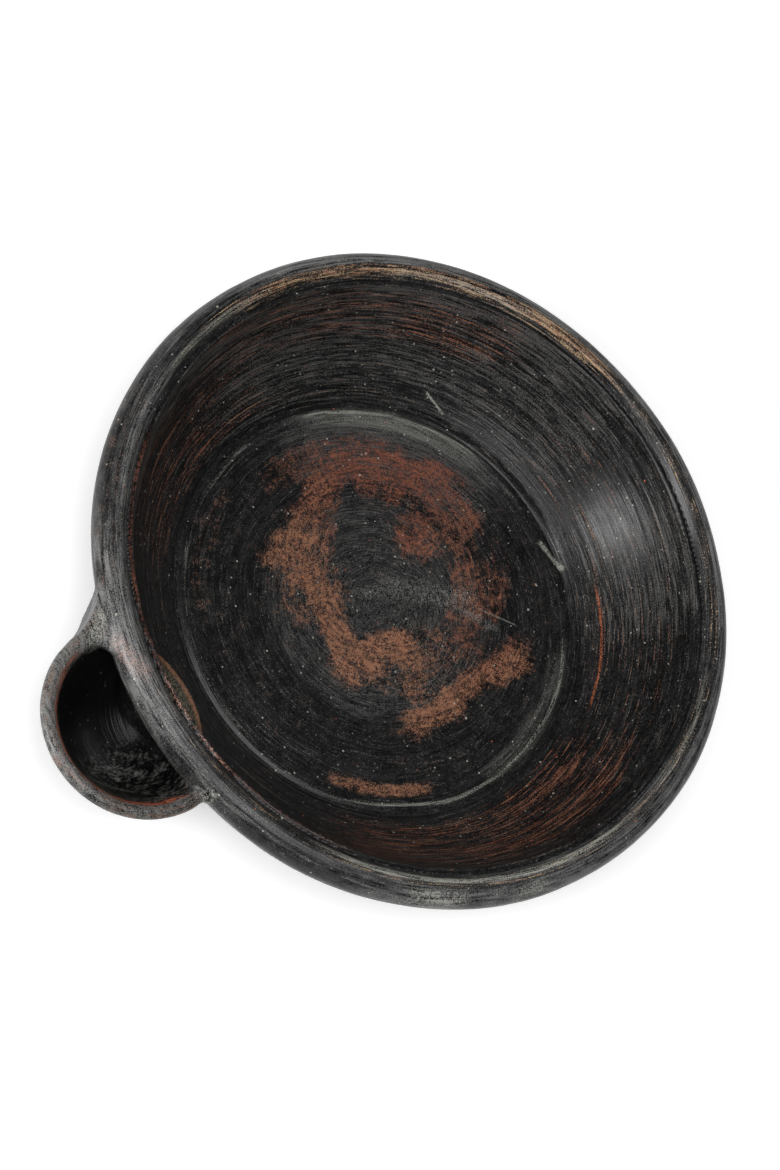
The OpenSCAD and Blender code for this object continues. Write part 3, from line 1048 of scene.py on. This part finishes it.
# %% Specks and pits
def specks(spacing, size, share):
    """Dots of about that size at a share of the seeds of a Voronoi pattern, and a random tone for each."""
    dots = clay.nodes.new("ShaderNodeTexVoronoi")
    clay.feed(dots.inputs["Vector"], place)
    dots.inputs["Scale"].default_value = 1 / spacing
    pick = clay.nodes.new("ShaderNodeSeparateColor")
    clay.feed(pick.inputs[0], dots.outputs["Color"])
    reach = clay.times(clay.rise(pick.outputs[0], 1 - share, 1), size / spacing)
    return clay.math("GREATER_THAN", reach, dots.outputs["Distance"]), pick.outputs[1]


fine_specks, fine_pick = specks(2.3, 0.44, 0.45)
large_specks, large_pick = specks(5.2, 0.62, 0.24)
colour = over(clay.times(pits, 0.6), BLACK)
fine_share = clay.times(fine_specks, clay.rise(fine_pick, 0.1, 1.0), clay.rise(in_cup, 0, 1, 1, 0.25))
colour = over(fine_share, PALE)
large_share = clay.times(large_specks, clay.rise(in_cup, 0, 1, 0.75, 0))
colour = over(large_share, clay.blend(clay.rise(large_pick, 0.70, 0.75), PALE, ORANGE))
count_nodes("specks and pits")

# %% Gloss, and a fine relief that follows the turning
GLOSS = 0.23
RELIEF = 0.21
SMOOTHEST = 0.16
bare = clay.most(floor_wear, crest_wear, wall_rust, in_hole)
roughness = clay.mixed((0.14, hair), (0.14, blotches), (0.25, bare), (1.0, SMOOTHEST))
clay.feed(clay.shader.inputs["Base Color"], colour)
clay.feed(clay.shader.inputs["Roughness"], roughness)
clay.shader.inputs["Specular IOR Level"].default_value = GLOSS
relief = clay.nodes.new("ShaderNodeBump")
clay.feed(relief.inputs["Height"], thread)
relief.inputs["Strength"].default_value = 1.0
relief.inputs["Distance"].default_value = RELIEF * MM
clay.feed(clay.shader.inputs["Normal"], relief.outputs[0])
count_nodes("whole finish")

# %% The bowl takes the finish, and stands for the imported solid
bowl.data.materials.clear()
bowl.data.materials.append(clay.material)
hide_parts("clay_bowl")
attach(bowl, "root")
print(bowl.name, "wears", bowl.data.materials[0].name)

# %% [markdown]
# ## Floor and light
# The bowl stands on plain white paper. A tall soft light stands low on the half-cup's side and makes
# the narrow sheen on the far wall, a wide one overhead lights the floor and the hole, a long weak one
# behind the bowl lifts the far rim, and a pale world fills the shadows. A glow that only the camera
# sees lifts the paper to white: weak near the bowl, where it leaves the soft shadow, and strong far
# away. The world looks white to the camera too, so that no horizon shows from low angles.

# %% Paper
bpy.ops.object.select_all(action="DESELECT")
bpy.ops.mesh.primitive_plane_add(size=6)
floor = bpy.context.object
floor.name = "floor"
paper = Recipe("paper")
paper.shader.inputs["Base Color"].default_value = (0.9, 0.9, 0.9, 1)
paper.shader.inputs["Roughness"].default_value = 0.9
paper.shader.inputs["Specular IOR Level"].default_value = 0.1
paper.shader.inputs["Emission Color"].default_value = (1, 1, 1, 1)
seen = paper.nodes.new("ShaderNodeLightPath").outputs["Is Camera Ray"]
on_paper = paper.nodes.new("ShaderNodeVectorMath")
on_paper.operation = "LENGTH"
paper.feed(on_paper.inputs[0], paper.nodes.new("ShaderNodeTexCoord").outputs["Object"])
GLOW_NEAR = 0.36
GLOW_FROM = 0.6
GLOW_FULL = 1.8
glow = paper.rise(on_paper.outputs["Value"], GLOW_FROM, GLOW_FULL, GLOW_NEAR, 1.0)
paper.feed(paper.shader.inputs["Emission Strength"], paper.times(seen, glow))
floor.data.materials.append(paper.material)
print("paper:", len(paper.nodes), "nodes")

# %% Lights
def soft_light(name, azimuth, elevation, distance, width, height, power):
    """A rectangular lamp that faces the bowl from that direction, in degrees and metres."""
    azimuth, elevation = math.radians(azimuth), math.radians(elevation)
    way = Vector((math.cos(elevation) * math.cos(azimuth), math.cos(elevation) * math.sin(azimuth),
                  math.sin(elevation)))
    bpy.ops.object.light_add(type="AREA", location=way * distance)
    lamp = bpy.context.object
    lamp.name = name
    lamp.data.shape = "RECTANGLE"
    lamp.data.size = width
    lamp.data.size_y = height
    lamp.data.energy = power
    lamp.rotation_euler = way.to_track_quat("Z", "Y").to_euler()


soft_light("side", azimuth=-19, elevation=18, distance=1.8, width=0.42, height=0.9, power=25)
soft_light("overhead", azimuth=20, elevation=70, distance=1.8, width=1.3, height=1.3, power=27)
soft_light("back", azimuth=195, elevation=26, distance=2.0, width=3.0, height=0.6, power=5)

# %% A pale world, white to the camera
WORLD_LIGHT = 0.10
world = bpy.data.worlds.new("studio")
bpy.context.scene.world = world
world.use_nodes = True
world.node_tree.nodes["Background"].inputs["Color"].default_value = (1, 1, 1, 1)
sky = world.node_tree.nodes["Background"].inputs["Strength"]
seen_directly = world.node_tree.nodes.new("ShaderNodeLightPath").outputs["Is Camera Ray"]
world_strength = world.node_tree.nodes.new("ShaderNodeMapRange")
world_strength.inputs["To Min"].default_value = WORLD_LIGHT
world_strength.inputs["To Max"].default_value = 1.0
world.node_tree.links.new(seen_directly, world_strength.inputs["Value"])
world.node_tree.links.new(world_strength.outputs["Result"], sky)
print("world strength", WORLD_LIGHT)
bpy.context.scene.view_settings.view_transform = "Standard"
